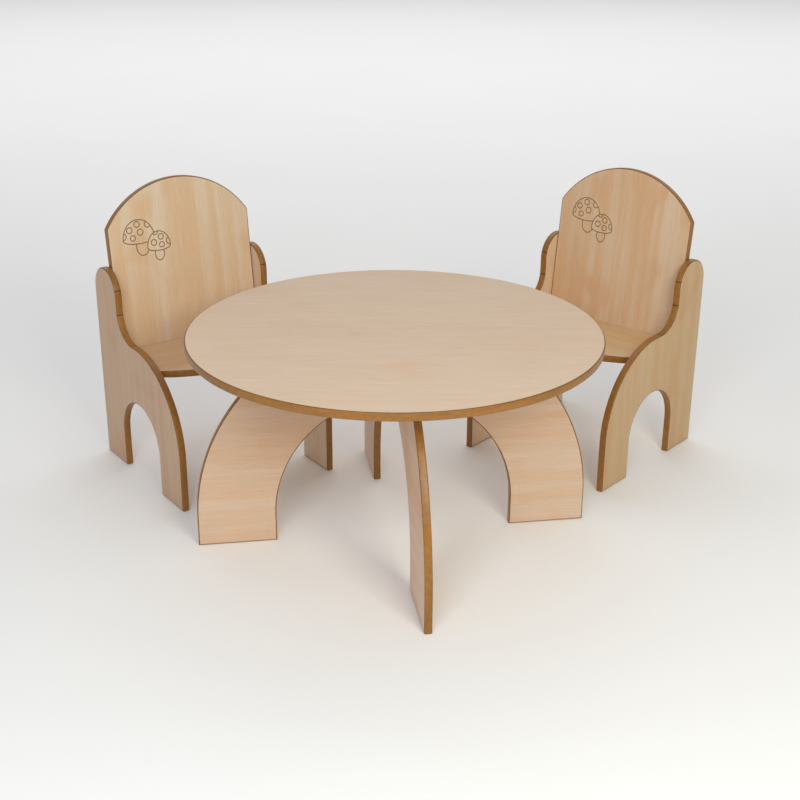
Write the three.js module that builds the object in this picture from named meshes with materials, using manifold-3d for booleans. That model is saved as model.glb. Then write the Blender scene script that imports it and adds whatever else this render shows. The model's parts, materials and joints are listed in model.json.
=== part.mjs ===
// A round children's table on two crossed arch panels, with two matching chairs drawn up to it.
// Everything is cut from flat laminated board, so each piece is one board or one fixing.
// Millimetres, +Z up. The origin is the middle of the whole set's footprint, on the floor.

import * as THREE from "three";
import { mergeVertices } from "three/addons/utils/BufferGeometryUtils.js";
import Module from "manifold-3d";

const wasm = await Module();
wasm.setup();

// Boards and fits
const BOARD = 15;
const TOP_BOARD = 16;
const GAP = 0.3;
const CURVE_SEGMENTS = 10;

// Table
const TABLE_RADIUS = 400;
const TABLE_HEIGHT = 430;
const TABLE_SEGMENTS = 96;
const BASE_OUTER_RADIUS = 394;
const BASE_INNER_RADIUS = 238;
const BASE_ARC_HEIGHT = 60;
const BASE_TURN = 9;

// Chair side panel: x runs forward from the rear edge
const CHAIR_WIDTH = 370;
const CHAIR_DEPTH = 380;
const ARM_RADIUS = 54;
const ARM_CENTRE_HEIGHT = 394;
const WAIST_RADIUS = 61;
const WAIST_CENTRE_HEIGHT = 365;
const THIGH_RADIUS = 190;
const ARCH_RADIUS = 89;
const ARCH_CENTRE_X = 190;
const ARCH_CENTRE_HEIGHT = 86;

// Seat and back
const SEAT_HEIGHT = 266;
const SEAT_SIDE_DEPTH = 236;
const SEAT_BOW = 58;
const BACK_FOOT_X = 83;
const BACK_LEAN = 6.6;
const BACK_CORNER_HEIGHT = 529;
const BACK_TOP_HEIGHT = 622;

// Where the chairs stand: the middle of the rear edges, from the table's axis, and the way they face
const CHAIRS = [
  { name: "left_chair", x: -505.5, y: 492, facing: -55.2 },
  { name: "right_chair", x: 553.5, y: 584.5, facing: 229.7 },
];

// Cam and bolt connectors, which draw a board's edge against a side panel
const CAM_RADIUS = 7.2;
const CAM_HEIGHT = 11.8;
const CAM_SETBACK = 24;
const CAM_SLOT = [9, 1.6, 2.2];
const CAM_SEGMENTS = 20;
const CAM_BORE_RADIUS = 3.4;
const CAM_HOLE_CLEARANCE = 0.3;
const CAM_HOLE_DEPTH = 12.4;
const BOLT_SEGMENTS = 8;
const BOLT_LENGTH = 34;
const BOLT_POINT_LENGTH = 1;
const BOLT_THREAD_LENGTH = 10;
const BOLT_THREAD_RADIUS = 2.2;
const BOLT_COLLAR_LENGTH = 2;
const BOLT_COLLAR_RADIUS = 3.4;
const BOLT_SHANK_RADIUS = 2.6;
const BOLT_NECK_LENGTH = 3.5;
const BOLT_NECK_RADIUS = 1.5;
const BOLT_HEAD_LENGTH = 3.5;
const BOLT_HEAD_RADIUS = 2.9;
const BOLT_CROWN_LENGTH = 0.8;
const BOLT_HOLE_RADIUS = 4;
const THREAD_HOLE_RADIUS = 2.6;
const THREAD_HOLE_DEPTH = 10.8;
const SEAT_BOLTS = [
  ["rear", 115],
  ["front", 205],
];
const BACK_BOLTS = [
  ["lower", 50],
  ["upper", 145],
];

// Steel angle brackets between the base panels and the table top
const BRACKET_LEG = 35;
const BRACKET_WIDTH = 18;
const BRACKET_THICKNESS = 2;
const BRACKET_OFFSET = 120;
const BRACKET_HOLE_RADIUS = 2.4;
const BRACKET_HOLE_DISTANCE = 24;
const SCREW_RADIUS = 1.9;
const SCREW_POINT_LENGTH = 1.5;
const SCREW_HEAD_RADIUS = 4;
const SCREW_HEAD_HEIGHT = 2.2;
const SCREW_CROWN_RADIUS = 2.4;
const SCREW_BITE = 10.5;
const SCREW_SEGMENTS = 12;
const PILOT_RADIUS = 2.3;
const PILOT_DEPTH = 11.5;

// How far a cutting tool stands out of what it cuts
const OVERSHOOT = 1;

// Worked out from the above
const TOP_UNDERSIDE = TABLE_HEIGHT - TOP_BOARD;
const BASE_HEIGHT = TOP_UNDERSIDE - GAP;
const CHAIR_INNER_HALF = CHAIR_WIDTH / 2 - BOARD;
const CROSSBOARD_HALF = CHAIR_INNER_HALF - GAP;
const SEAT_UNDERSIDE = SEAT_HEIGHT - BOARD;
const LEAN = THREE.MathUtils.degToRad(BACK_LEAN);

const laminate = { color: 0xd2b9a0, roughness: 0.45, metalness: 0 };
const MATERIALS = {
  tabletop: new THREE.MeshStandardMaterial(laminate),
  panel: new THREE.MeshStandardMaterial({ ...laminate, color: 0xccb090 }),
  seat: new THREE.MeshStandardMaterial({ ...laminate, color: 0xc9a87e }),
  zinc: new THREE.MeshStandardMaterial({ color: 0xa9abad, roughness: 0.4, metalness: 0.9 }),
  steel: new THREE.MeshStandardMaterial({ color: 0xc4c3bd, roughness: 0.35, metalness: 1 }),
};

// ---------------------------------------------------------------- solids

// A closed geometry as a solid that can be cut.
function solid(geometry) {
  const loose = geometry.index ? geometry.toNonIndexed() : geometry;
  const plain = new THREE.BufferGeometry();
  plain.setAttribute("position", loose.getAttribute("position"));
  const merged = mergeVertices(plain, 1e-4);
  const mesh = new wasm.Mesh({
    numProp: 3,
    vertProperties: merged.getAttribute("position").array,
    triVerts: new Uint32Array(merged.index.array),
  });
  return new wasm.Manifold(mesh);
}

function cut(body, tools) {
  return tools.reduce((left, tool) => left.subtract(tool), body);
}

function meshOf(name, body, material) {
  const { numProp, vertProperties, triVerts } = body.getMesh();
  const indexed = new THREE.BufferGeometry();
  const interleaved = new THREE.InterleavedBuffer(vertProperties, numProp);
  indexed.setAttribute("position", new THREE.InterleavedBufferAttribute(interleaved, 3, 0));
  indexed.setIndex(new THREE.BufferAttribute(triVerts, 1));
  const geometry = indexed.toNonIndexed();
  geometry.computeVertexNormals();
  const mesh = new THREE.Mesh(geometry, material);
  mesh.name = name;
  return mesh;
}

// A board cut to an outline drawn in X and Y, lying from z = 0 up to its thickness.
function board(outline, thickness) {
  return new THREE.ExtrudeGeometry(outline, {
    depth: thickness,
    bevelEnabled: false,
    curveSegments: CURVE_SEGMENTS,
  });
}

// The same board stood up: the outline's Y becomes height and the thickness is centred on y = middle.
function uprightBoard(outline, thickness, middle) {
  return board(outline, thickness)
    .rotateX(Math.PI / 2)
    .translate(0, middle + thickness / 2, 0);
}

// A round bar from a point, along a direction.
function bar(radius, length, segments, from, direction) {
  const turn = new THREE.Quaternion().setFromUnitVectors(new THREE.Vector3(0, 1, 0), direction);
  return new THREE.CylinderGeometry(radius, radius, length, segments)
    .translate(0, length / 2, 0)
    .applyQuaternion(turn)
    .translate(from.x, from.y, from.z);
}

// The radius of the arc that rises by a bow over a half chord.
function arcRadius(halfChord, bow) {
  return (halfChord ** 2 + bow ** 2) / (2 * bow);
}

// ---------------------------------------------------------------- table

// One arch panel: a wide half ring on straight feet, cut level under the table top.
// The two panels cross in a halving joint, one slotted from above and the other from below.
function archPanelOutline(slotFromAbove) {
  const slot = BOARD / 2 + GAP;
  const crownHeight = BASE_ARC_HEIGHT + BASE_INNER_RADIUS;
  const halfway = (crownHeight + BASE_HEIGHT) / 2;
  const shoulder = Math.asin((BASE_HEIGHT - BASE_ARC_HEIGHT) / BASE_OUTER_RADIUS);
  const outline = new THREE.Shape();
  outline.moveTo(BASE_INNER_RADIUS, 0);
  outline.lineTo(BASE_OUTER_RADIUS, 0);
  outline.absarc(0, BASE_ARC_HEIGHT, BASE_OUTER_RADIUS, 0, shoulder);
  if (slotFromAbove) {
    outline.lineTo(slot, BASE_HEIGHT);
    outline.lineTo(slot, halfway - GAP / 2);
    outline.lineTo(-slot, halfway - GAP / 2);
    outline.lineTo(-slot, BASE_HEIGHT);
  }
  outline.absarc(0, BASE_ARC_HEIGHT, BASE_OUTER_RADIUS, Math.PI - shoulder, Math.PI);
  outline.lineTo(-BASE_OUTER_RADIUS, 0);
  outline.lineTo(-BASE_INNER_RADIUS, 0);
  if (slotFromAbove) {
    outline.absarc(0, BASE_ARC_HEIGHT, BASE_INNER_RADIUS, Math.PI, 0, true);
  } else {
    const mouth = Math.acos(slot / BASE_INNER_RADIUS);
    outline.absarc(0, BASE_ARC_HEIGHT, BASE_INNER_RADIUS, Math.PI, Math.PI - mouth, true);
    outline.lineTo(-slot, halfway + GAP / 2);
    outline.lineTo(slot, halfway + GAP / 2);
    outline.absarc(0, BASE_ARC_HEIGHT, BASE_INNER_RADIUS, mouth, 0, true);
  }
  outline.closePath();
  return outline;
}

// A pan-head screw, its tip at the origin and its head towards +Y, along its own axis.
function screwGeometry() {
  const neck = SCREW_BITE + BRACKET_THICKNESS + 2 * GAP;
  const crown = neck + SCREW_HEAD_HEIGHT;
  const profile = [
    [0, 0],
    [SCREW_RADIUS, SCREW_POINT_LENGTH],
    [SCREW_RADIUS, neck],
    [SCREW_HEAD_RADIUS, neck],
    [SCREW_HEAD_RADIUS, neck + SCREW_HEAD_HEIGHT / 2],
    [SCREW_CROWN_RADIUS, crown],
    [0, crown],
  ];
  return new THREE.LatheGeometry(
    profile.map(([radius, along]) => new THREE.Vector2(radius, along)),
    SCREW_SEGMENTS,
  );
}

// An angle bracket in an arm's frame: x along the arm, y away from the panel's face, z up.
function bracketSolid() {
  const faceY = BOARD / 2 + GAP;
  const upright = new THREE.BoxGeometry(BRACKET_WIDTH, BRACKET_THICKNESS, BRACKET_LEG).translate(
    BRACKET_OFFSET,
    faceY + BRACKET_THICKNESS / 2,
    BASE_HEIGHT - BRACKET_LEG / 2,
  );
  const flange = new THREE.BoxGeometry(BRACKET_WIDTH, BRACKET_LEG, BRACKET_THICKNESS).translate(
    BRACKET_OFFSET,
    faceY + BRACKET_LEG / 2,
    BASE_HEIGHT - BRACKET_THICKNESS / 2,
  );
  const holes = bracketScrews().map(({ tip, direction }) =>
    solid(bar(BRACKET_HOLE_RADIUS, BRACKET_LEG, SCREW_SEGMENTS, tip, direction)),
  );
  return cut(solid(upright).add(solid(flange)), holes);
}

// Each bracket's two screws: the tip of each, and the direction from its tip to its head.
function bracketScrews() {
  const depth = SCREW_BITE;
  const faceY = BOARD / 2;
  return [
    {
      name: "top",
      tip: new THREE.Vector3(BRACKET_OFFSET, faceY + BRACKET_HOLE_DISTANCE, TOP_UNDERSIDE + depth),
      direction: new THREE.Vector3(0, 0, -1),
    },
    {
      name: "panel",
      tip: new THREE.Vector3(BRACKET_OFFSET, faceY - depth, BASE_HEIGHT - BRACKET_HOLE_DISTANCE),
      direction: new THREE.Vector3(0, 1, 0),
    },
  ];
}

// The pilot hole for a screw, drilled from the face that it enters.
function pilotHole({ tip, direction }) {
  const slack = PILOT_DEPTH - SCREW_BITE;
  const start = tip.clone().addScaledVector(direction, -slack);
  return bar(PILOT_RADIUS, PILOT_DEPTH + OVERSHOOT, SCREW_SEGMENTS, start, direction);
}

function makeTable() {
  const table = new THREE.Group();
  table.rotation.z = THREE.MathUtils.degToRad(BASE_TURN);

  const arms = ["right", "rear", "left", "front"].map((name, quarter) => ({
    name,
    quarter,
    angle: (quarter * Math.PI) / 2,
  }));
  const pilots = { top: [], across: [], along: [] };
  for (const { name, quarter, angle } of arms) {
    const arm = new THREE.Group();
    arm.rotation.z = angle;
    table.add(arm);
    arm.add(meshOf(`table_bracket_${name}`, bracketSolid(), MATERIALS.steel));
    for (const screw of bracketScrews()) {
      const fixing = meshOf(
        `table_bracket_${name}_${screw.name}_screw`,
        solid(screwGeometry()),
        MATERIALS.zinc,
      );
      fixing.position.copy(screw.tip);
      fixing.quaternion.setFromUnitVectors(new THREE.Vector3(0, 1, 0), screw.direction);
      arm.add(fixing);
      const hole = solid(pilotHole(screw).rotateZ(angle));
      if (screw.name === "top") pilots.top.push(hole);
      else pilots[quarter % 2 ? "along" : "across"].push(hole);
    }
  }

  const slab = new THREE.CylinderGeometry(TABLE_RADIUS, TABLE_RADIUS, TOP_BOARD, TABLE_SEGMENTS)
    .rotateX(Math.PI / 2)
    .rotateZ(-table.rotation.z)
    .translate(0, 0, TABLE_HEIGHT - TOP_BOARD / 2);
  table.add(meshOf("table_top", cut(solid(slab), pilots.top), MATERIALS.tabletop));

  const across = uprightBoard(archPanelOutline(true), BOARD, 0);
  table.add(meshOf("table_arch_panel_across", cut(solid(across), pilots.across), MATERIALS.panel));

  const along = uprightBoard(archPanelOutline(false), BOARD, 0).rotateZ(Math.PI / 2);
  table.add(meshOf("table_arch_panel_along", cut(solid(along), pilots.along), MATERIALS.panel));
  return table;
}

// ---------------------------------------------------------------- chair
// Chair frame: x forward from the rear edges of the side panels, y to the chair's left, z up.

// The side panel: a round-topped arm that sweeps down in an S to the front leg, over an arch.
function sidePanelOutline() {
  const thighX = CHAIR_DEPTH - THIGH_RADIUS;
  const thighHeight = WAIST_CENTRE_HEIGHT - WAIST_RADIUS - THIGH_RADIUS;
  const outline = new THREE.Shape();
  outline.moveTo(0, 0);
  outline.lineTo(ARCH_CENTRE_X - ARCH_RADIUS, 0);
  outline.absarc(ARCH_CENTRE_X, ARCH_CENTRE_HEIGHT, ARCH_RADIUS, Math.PI, 0, true);
  outline.lineTo(ARCH_CENTRE_X + ARCH_RADIUS, 0);
  outline.lineTo(CHAIR_DEPTH, 0);
  outline.absarc(thighX, thighHeight, THIGH_RADIUS, 0, Math.PI / 2);
  outline.absarc(
    2 * ARM_RADIUS + WAIST_RADIUS,
    WAIST_CENTRE_HEIGHT,
    WAIST_RADIUS,
    1.5 * Math.PI,
    Math.PI,
    true,
  );
  outline.absarc(ARM_RADIUS, ARM_CENTRE_HEIGHT, ARM_RADIUS, 0, Math.PI);
  outline.closePath();
  return outline;
}

// The seat from above: square at the back and bowed at the front.
function seatOutline() {
  const radius = arcRadius(CROSSBOARD_HALF, SEAT_BOW);
  const centreX = SEAT_SIDE_DEPTH + SEAT_BOW - radius;
  const sweep = Math.asin(CROSSBOARD_HALF / radius);
  const rearX = BACK_FOOT_X - BOARD;
  const outline = new THREE.Shape();
  outline.moveTo(rearX, CROSSBOARD_HALF);
  outline.lineTo(rearX, -CROSSBOARD_HALF);
  outline.absarc(centreX, 0, radius, -sweep, sweep);
  outline.closePath();
  return outline;
}

// The back in its own plane: x across the chair and y up the lean from the seat's upper face.
function backOutline() {
  const drop = BOARD / Math.cos(LEAN);
  const corner = (BACK_CORNER_HEIGHT - SEAT_HEIGHT) / Math.cos(LEAN);
  const top = (BACK_TOP_HEIGHT - SEAT_HEIGHT) / Math.cos(LEAN);
  const radius = arcRadius(CROSSBOARD_HALF, top - corner);
  const sweep = Math.asin(CROSSBOARD_HALF / radius);
  const outline = new THREE.Shape();
  outline.moveTo(-CROSSBOARD_HALF, -drop);
  outline.lineTo(CROSSBOARD_HALF, -drop);
  outline.absarc(0, top - radius, radius, Math.PI / 2 - sweep, Math.PI / 2 + sweep);
  outline.closePath();
  return outline;
}

// The leaning back's own directions: up the lean, and out of its front face.
const UP_THE_LEAN = new THREE.Vector3(-Math.sin(LEAN), 0, Math.cos(LEAN));
const OUT_OF_THE_BACK = new THREE.Vector3(Math.cos(LEAN), 0, Math.sin(LEAN));
const TO_THE_LEFT = new THREE.Vector3(0, 1, 0);

// A frame that lies a depth behind the back's front face, level with the seat's upper face.
function backFrame(across, up, out, depth) {
  const foot = new THREE.Vector3(BACK_FOOT_X, 0, SEAT_HEIGHT);
  return new THREE.Matrix4()
    .makeBasis(across, up, out)
    .setPosition(foot.addScaledVector(OUT_OF_THE_BACK, -depth));
}

// A cam with a bore for the bolt's head from one side, and a cross slot in its open face.
// Its axis is Z with the open face down, at z = 0, and the bolt comes in along +Y.
function camSolid() {
  const origin = new THREE.Vector3();
  const up = new THREE.Vector3(0, 0, 1);
  const body = solid(bar(CAM_RADIUS, CAM_HEIGHT, CAM_SEGMENTS, origin, up));
  const [length, width, depth] = CAM_SLOT;
  const slotAlong = new THREE.BoxGeometry(length, width, 2 * depth);
  const slotAcross = new THREE.BoxGeometry(width, length, 2 * depth);
  const boreStart = new THREE.Vector3(0, -OVERSHOOT, BOARD / 2 - GAP);
  const boreWay = new THREE.Vector3(0, 1, 0);
  const bore = bar(CAM_BORE_RADIUS, 2 * CAM_RADIUS, BOLT_SEGMENTS, boreStart, boreWay);
  return cut(body, [slotAlong, slotAcross, bore].map(solid));
}

// A connector bolt: its thread's tip at the origin and its head towards +Y.
function boltGeometry() {
  const face = BOLT_THREAD_LENGTH + GAP;
  const collar = face + BOLT_COLLAR_LENGTH;
  const head = BOLT_LENGTH - BOLT_HEAD_LENGTH;
  const neck = head - BOLT_NECK_LENGTH;
  const profile = [
    [0, 0],
    [BOLT_THREAD_RADIUS, BOLT_POINT_LENGTH],
    [BOLT_THREAD_RADIUS, face],
    [BOLT_COLLAR_RADIUS, face],
    [BOLT_COLLAR_RADIUS, collar],
    [BOLT_SHANK_RADIUS, collar],
    [BOLT_SHANK_RADIUS, neck],
    [BOLT_NECK_RADIUS, neck],
    [BOLT_NECK_RADIUS, head],
    [BOLT_HEAD_RADIUS, head],
    [BOLT_HEAD_RADIUS, BOLT_LENGTH - BOLT_CROWN_LENGTH],
    [0, BOLT_LENGTH],
  ];
  return new THREE.LatheGeometry(
    profile.map(([radius, along]) => new THREE.Vector2(radius, along)),
    BOLT_SEGMENTS,
  );
}

// The two rows of connectors. In a row's frame x runs along the board's end, y across the chair,
// and z from the drilled face into the board: the seat is drilled from below, the back from behind.
const CONNECTOR_ROWS = [
  {
    board: "seat",
    stations: SEAT_BOLTS,
    leftSign: 1,
    frame: new THREE.Matrix4().makeTranslation(0, 0, SEAT_UNDERSIDE),
  },
  {
    board: "back",
    stations: BACK_BOLTS,
    leftSign: -1,
    frame: backFrame(UP_THE_LEAN, TO_THE_LEFT.clone().negate(), OUT_OF_THE_BACK, BOARD),
  },
];

// The holes that one connector needs, as cutting tools in its row's frame.
function connectorHoles(along, sign) {
  const outward = new THREE.Vector3(0, sign, 0);
  const inward = new THREE.Vector3(0, 0, 1);
  const camAcross = sign * (CHAIR_INNER_HALF - CAM_SETBACK);
  const camMouth = new THREE.Vector3(along, camAcross, -OVERSHOOT);
  const boltStart = camMouth.clone().setZ(BOARD / 2);
  const sideStart = camMouth.clone().setY(sign * (CHAIR_INNER_HALF - OVERSHOOT)).setZ(BOARD / 2);
  const camHoleRadius = CAM_RADIUS + CAM_HOLE_CLEARANCE;
  const threadReach = THREAD_HOLE_DEPTH + OVERSHOOT;
  return {
    cam: bar(camHoleRadius, CAM_HOLE_DEPTH + OVERSHOOT, CAM_SEGMENTS, camMouth, inward),
    bolt: bar(BOLT_HOLE_RADIUS, CAM_SETBACK + OVERSHOOT, BOLT_SEGMENTS, boltStart, outward),
    thread: bar(THREAD_HOLE_RADIUS, threadReach, BOLT_SEGMENTS, sideStart, outward),
  };
}

// One connector's cam and bolt as named meshes in its row's frame.
function connectorMeshes(name, along, sign) {
  const cam = meshOf(`${name}_cam`, camSolid(), MATERIALS.zinc);
  cam.rotation.z = sign > 0 ? 0 : Math.PI;
  cam.position.set(along, sign * (CHAIR_INNER_HALF - CAM_SETBACK), GAP);
  const bolt = meshOf(`${name}_bolt`, solid(boltGeometry()), MATERIALS.steel);
  bolt.rotation.z = sign > 0 ? Math.PI : 0;
  bolt.position.set(along, sign * (CHAIR_INNER_HALF + BOLT_THREAD_LENGTH), BOARD / 2);
  return [cam, bolt];
}

function makeChair({ name, x, y, facing }) {
  const chair = new THREE.Group();
  chair.position.set(x, y, 0);
  chair.rotation.z = THREE.MathUtils.degToRad(facing);

  const holes = { seat: [], back: [], left: [], right: [] };
  for (const { board: host, stations, leftSign, frame } of CONNECTOR_ROWS) {
    const row = new THREE.Group();
    row.applyMatrix4(frame);
    chair.add(row);
    for (const side of ["left", "right"]) {
      const sign = side === "left" ? leftSign : -leftSign;
      for (const [station, along] of stations) {
        row.add(...connectorMeshes(`${name}_${host}_${side}_${station}`, along, sign));
        const { cam, bolt, thread } = connectorHoles(along, sign);
        holes[host].push(cam.applyMatrix4(frame), bolt.applyMatrix4(frame));
        holes[side].push(thread.applyMatrix4(frame));
      }
    }
  }

  for (const [side, sign] of [
    ["left", 1],
    ["right", -1],
  ]) {
    const middle = sign * (CHAIR_INNER_HALF + BOARD / 2);
    const panel = uprightBoard(sidePanelOutline(), BOARD, middle);
    const body = cut(solid(panel), holes[side].map(solid));
    chair.add(meshOf(`${name}_${side}_side_panel`, body, MATERIALS.panel));
  }

  // The seat butts against the back, so its rear edge follows the lean.
  const seat = board(seatOutline(), BOARD).translate(0, 0, SEAT_UNDERSIDE);
  const behind = new THREE.BoxGeometry(CHAIR_WIDTH, BACK_FOOT_X, BACK_FOOT_X)
    .translate(0, 0, GAP - BACK_FOOT_X / 2)
    .applyMatrix4(backFrame(TO_THE_LEFT, UP_THE_LEAN, OUT_OF_THE_BACK, 0));
  const seatTools = [behind, ...holes.seat].map(solid);
  chair.add(meshOf(`${name}_seat`, cut(solid(seat), seatTools), MATERIALS.seat));

  const back = board(backOutline(), BOARD).applyMatrix4(
    backFrame(TO_THE_LEFT, UP_THE_LEAN, OUT_OF_THE_BACK, BOARD),
  );
  chair.add(meshOf(`${name}_back`, cut(solid(back), holes.back.map(solid)), MATERIALS.seat));
  return chair;
}

// ---------------------------------------------------------------- the set

const group = new THREE.Group();
group.add(makeTable(), ...CHAIRS.map(makeChair));
group.updateMatrixWorld(true);
const middle = new THREE.Box3().setFromObject(group, true).getCenter(new THREE.Vector3());
group.position.set(-middle.x, -middle.y, 0);

export default group;
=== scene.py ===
import json
import math

import bmesh
import bpy
from mathutils import Matrix, Vector


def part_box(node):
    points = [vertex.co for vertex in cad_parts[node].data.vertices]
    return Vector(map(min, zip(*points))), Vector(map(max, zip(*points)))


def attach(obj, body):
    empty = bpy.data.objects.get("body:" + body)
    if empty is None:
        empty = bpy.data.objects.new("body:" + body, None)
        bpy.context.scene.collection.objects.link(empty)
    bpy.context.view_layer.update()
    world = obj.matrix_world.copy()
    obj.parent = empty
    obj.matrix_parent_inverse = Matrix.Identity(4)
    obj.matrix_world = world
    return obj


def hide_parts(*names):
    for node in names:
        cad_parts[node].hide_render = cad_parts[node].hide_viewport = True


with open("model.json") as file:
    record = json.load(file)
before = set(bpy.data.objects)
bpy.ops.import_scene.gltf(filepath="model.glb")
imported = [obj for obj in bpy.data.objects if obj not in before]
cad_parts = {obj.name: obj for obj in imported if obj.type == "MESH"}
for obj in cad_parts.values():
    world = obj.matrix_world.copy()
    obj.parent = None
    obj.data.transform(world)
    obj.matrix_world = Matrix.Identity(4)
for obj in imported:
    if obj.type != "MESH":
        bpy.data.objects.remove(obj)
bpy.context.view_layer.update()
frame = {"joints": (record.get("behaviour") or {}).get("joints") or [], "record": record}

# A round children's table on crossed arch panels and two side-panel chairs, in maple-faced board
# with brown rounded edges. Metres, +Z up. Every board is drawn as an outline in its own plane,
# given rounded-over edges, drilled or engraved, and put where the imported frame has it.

body_of = {n: body for body, nodes in frame["record"]["behaviour"]["bodies"].items() for n in nodes}

TURN = 2 * math.pi
RIGHT_ANGLE = math.pi / 2

# How far a cutter reaches past its cut, and how near points are taken as one
OVERSHOOT = 0.001
WELD = 0.000005
SAME_POINT = 0.000001

# Boards, and the gap between pieces that meet
BOARD = 0.015
GAP = 0.0003
EDGE_RADIUS = 0.0024
EDGE_STEPS = 5

# Curves: longest chord, fewest steps, the cosine of a turn too slight for a corner, and the widest
# angle between faces that are shaded as one
ARC_STEP = 0.005
FEWEST_ARC_STEPS = 2
NEARLY_STRAIGHT = 0.99
SMOOTH_BELOW = math.radians(28)

# Where on the grain a face is cut: steps (along, across) for its board's seed and its side
GRAIN_PER_SEED = (1.37, 0.61)
GRAIN_PER_SIDE = (3.1, 1.7)
TABLE_TOP_SEED = 1

# Table
TABLE_SEGMENTS = 240
BASE_OUTER_RADIUS = 0.394
BASE_INNER_RADIUS = 0.238
BASE_ARC_HEIGHT = 0.060
BASE_TURN = math.radians(9)

# Its arch panels: name, quarter that it starts on, whether it is slotted from above, and seed
ARCH_PANELS = (("across", 0, True, 5), ("along", 1, False, 9))

# Chairs: each one's seed, the sign of each side in y, and the seed steps of its other boards
CHAIRS = {"left_chair": 20, "right_chair": 30}
SIDES = {"left": 1, "right": -1}
SEAT_SEED_STEP = 2
BACK_SEED_STEP = 3

# Chair side panel: x runs forward from the rear edge
CHAIR_WIDTH = 0.370
CHAIR_DEPTH = 0.380
ARM_RADIUS = 0.054
ARM_CENTRE_HEIGHT = 0.394
WAIST_RADIUS = 0.061
WAIST_CENTRE_HEIGHT = 0.365
THIGH_RADIUS = 0.190
ARCH_RADIUS = 0.089
ARCH_CENTRE_X = 0.190
ARCH_CENTRE_HEIGHT = 0.086
MARK_HALF_WIDTH = 0.0015
MARK_HEIGHTS = (0.411, 0.356)
MARK_DEPTH = 0.0004

# Seat and back
SEAT_HEIGHT = 0.266
SEAT_SIDE_DEPTH = 0.236
SEAT_BOW = 0.058
BACK_FOOT_X = 0.083
BACK_LEAN = math.radians(6.6)
BACK_CORNER_HEIGHT = 0.529
BACK_TOP_HEIGHT = 0.622
CHAIR_INNER_HALF = CHAIR_WIDTH / 2 - BOARD
CROSSBOARD_HALF = CHAIR_INNER_HALF - GAP

# Engraving on the back: where its middle is in the back's own plane, and the groove
MOTIF_PLACE = Vector((-0.080, 0.226))
GROOVE_WIDTH = 0.0021
GROOVE_DEPTH = 0.0009
GROOVE_STEP = 0.0010
GROOVE_SIDES = 8
GROOVE_CAP_STEPS = 4
FEWEST_OVAL_STEPS = 6
FEWEST_STROKE_POINTS = 4

# A toadstool, by its cap's half width or rise: how far the cap bulges below, how far down the
# stem's middle is, and the stem's half width and half height
UNDERSIDE = 0.25
STEM_DROP = 0.42
STEM_HALF_WIDTH = 0.40
STEM_HALF_HEIGHT = 0.46

# Each toadstool: (place from the motif's middle, half width, rise, how far aside its stem is), and
# its spots: (across by the half width, up by the rise, radius by the rise)
LARGE_TOADSTOOL = (Vector((-0.019, 0.009)), 0.0365, 0.042, 0.007)
LARGE_SPOTS = (
    (-0.98, 0.22, 0.17),
    (-0.55, 0.50, 0.15),
    (-0.05, 0.76, 0.15),
    (-0.38, 0.08, 0.14),
    (0.12, 0.34, 0.16),
    (0.62, 0.70, 0.16),
)
SMALL_TOADSTOOL = (Vector((0.026, -0.014)), 0.0270, 0.034, 0.0)
SMALL_SPOTS = (
    (-0.42, 0.30, 0.19),
    (0.22, 0.62, 0.18),
    (-0.25, 0.95, 0.17),
    (0.95, 0.28, 0.22),
    (0.25, 0.10, 0.17),
)

# Turned pieces and drilled holes
ROUND_SEGMENTS = 32
CAM_SEGMENTS = 48
BOLT_SEGMENTS = 24
THREAD_ROOT = 0.78

# Cross recesses are (arm, half width, depth), and narrower at the bottom by this
RECESS_TAPER = 0.6

# Cam and bolt connectors. Collar, neck and head are (radius, length)
CAM_RADIUS = 0.0072
CAM_HEIGHT = 0.0118
CAM_SETBACK = 0.024
CAM_CHAMFER = 0.0005
CAM_HOLE_RADIUS = 0.0075
CAM_HOLE_DEPTH = 0.0124
CAM_BORE_RADIUS = 0.0034
CAM_RECESS = (0.0045, 0.0008, 0.0022)
CAM_POINTER = ((-0.0009, 0.0050), (0.0009, 0.0050), (0, 0.0064))
CAM_POINTER_DEPTH = 0.0005
BOLT_LENGTH = 0.034
BOLT_THREAD_LENGTH = 0.010
BOLT_THREAD_RADIUS = 0.0022
BOLT_PITCH = 0.0011
BOLT_TIP = 0.6
BOLT_COLLAR = (0.0034, 0.0020)
BOLT_SHANK_RADIUS = 0.0026
BOLT_NECK = (0.0015, 0.0035)
BOLT_HEAD = (0.0029, 0.0035)
BOLT_HEAD_CHAMFER = 3 * GAP
BOLT_HOLE_RADIUS = 0.004
THREAD_HOLE_RADIUS = 0.0026
THREAD_HOLE_DEPTH = 0.0108
SEAT_BOLTS = {"rear": 0.115, "front": 0.205}
BACK_BOLTS = {"lower": 0.050, "upper": 0.145}

# Angle brackets and their screws. The screw's head is (radius, height)
ARMS = ("right", "rear", "left", "front")
BRACKET_LEG = 0.035
BRACKET_WIDTH = 0.018
BRACKET_THICKNESS = 0.002
BRACKET_BEND = 0.004
BRACKET_BEND_STEPS = 8
BRACKET_CORNER = 0.005
BRACKET_CORNER_STEP = 0.0009
BRACKET_EDGE_RADIUS = 0.0003
BRACKET_OFFSET = 0.120
BRACKET_HOLE_RADIUS = 0.0024
BRACKET_HOLE_DISTANCE = 0.024
SCREW_BITE = 0.0105
SCREW_RADIUS = 0.0019
SCREW_PITCH = 0.0012
SCREW_TIP = 0.3
SCREW_HEAD = (0.004, 0.0022)
SCREW_CROWN_RADIUS = 0.0024
SCREW_RECESS = (0.0023, 0.0006, 0.0013)
PILOT_RADIUS = 0.0023
PILOT_DEPTH = 0.0115

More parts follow.
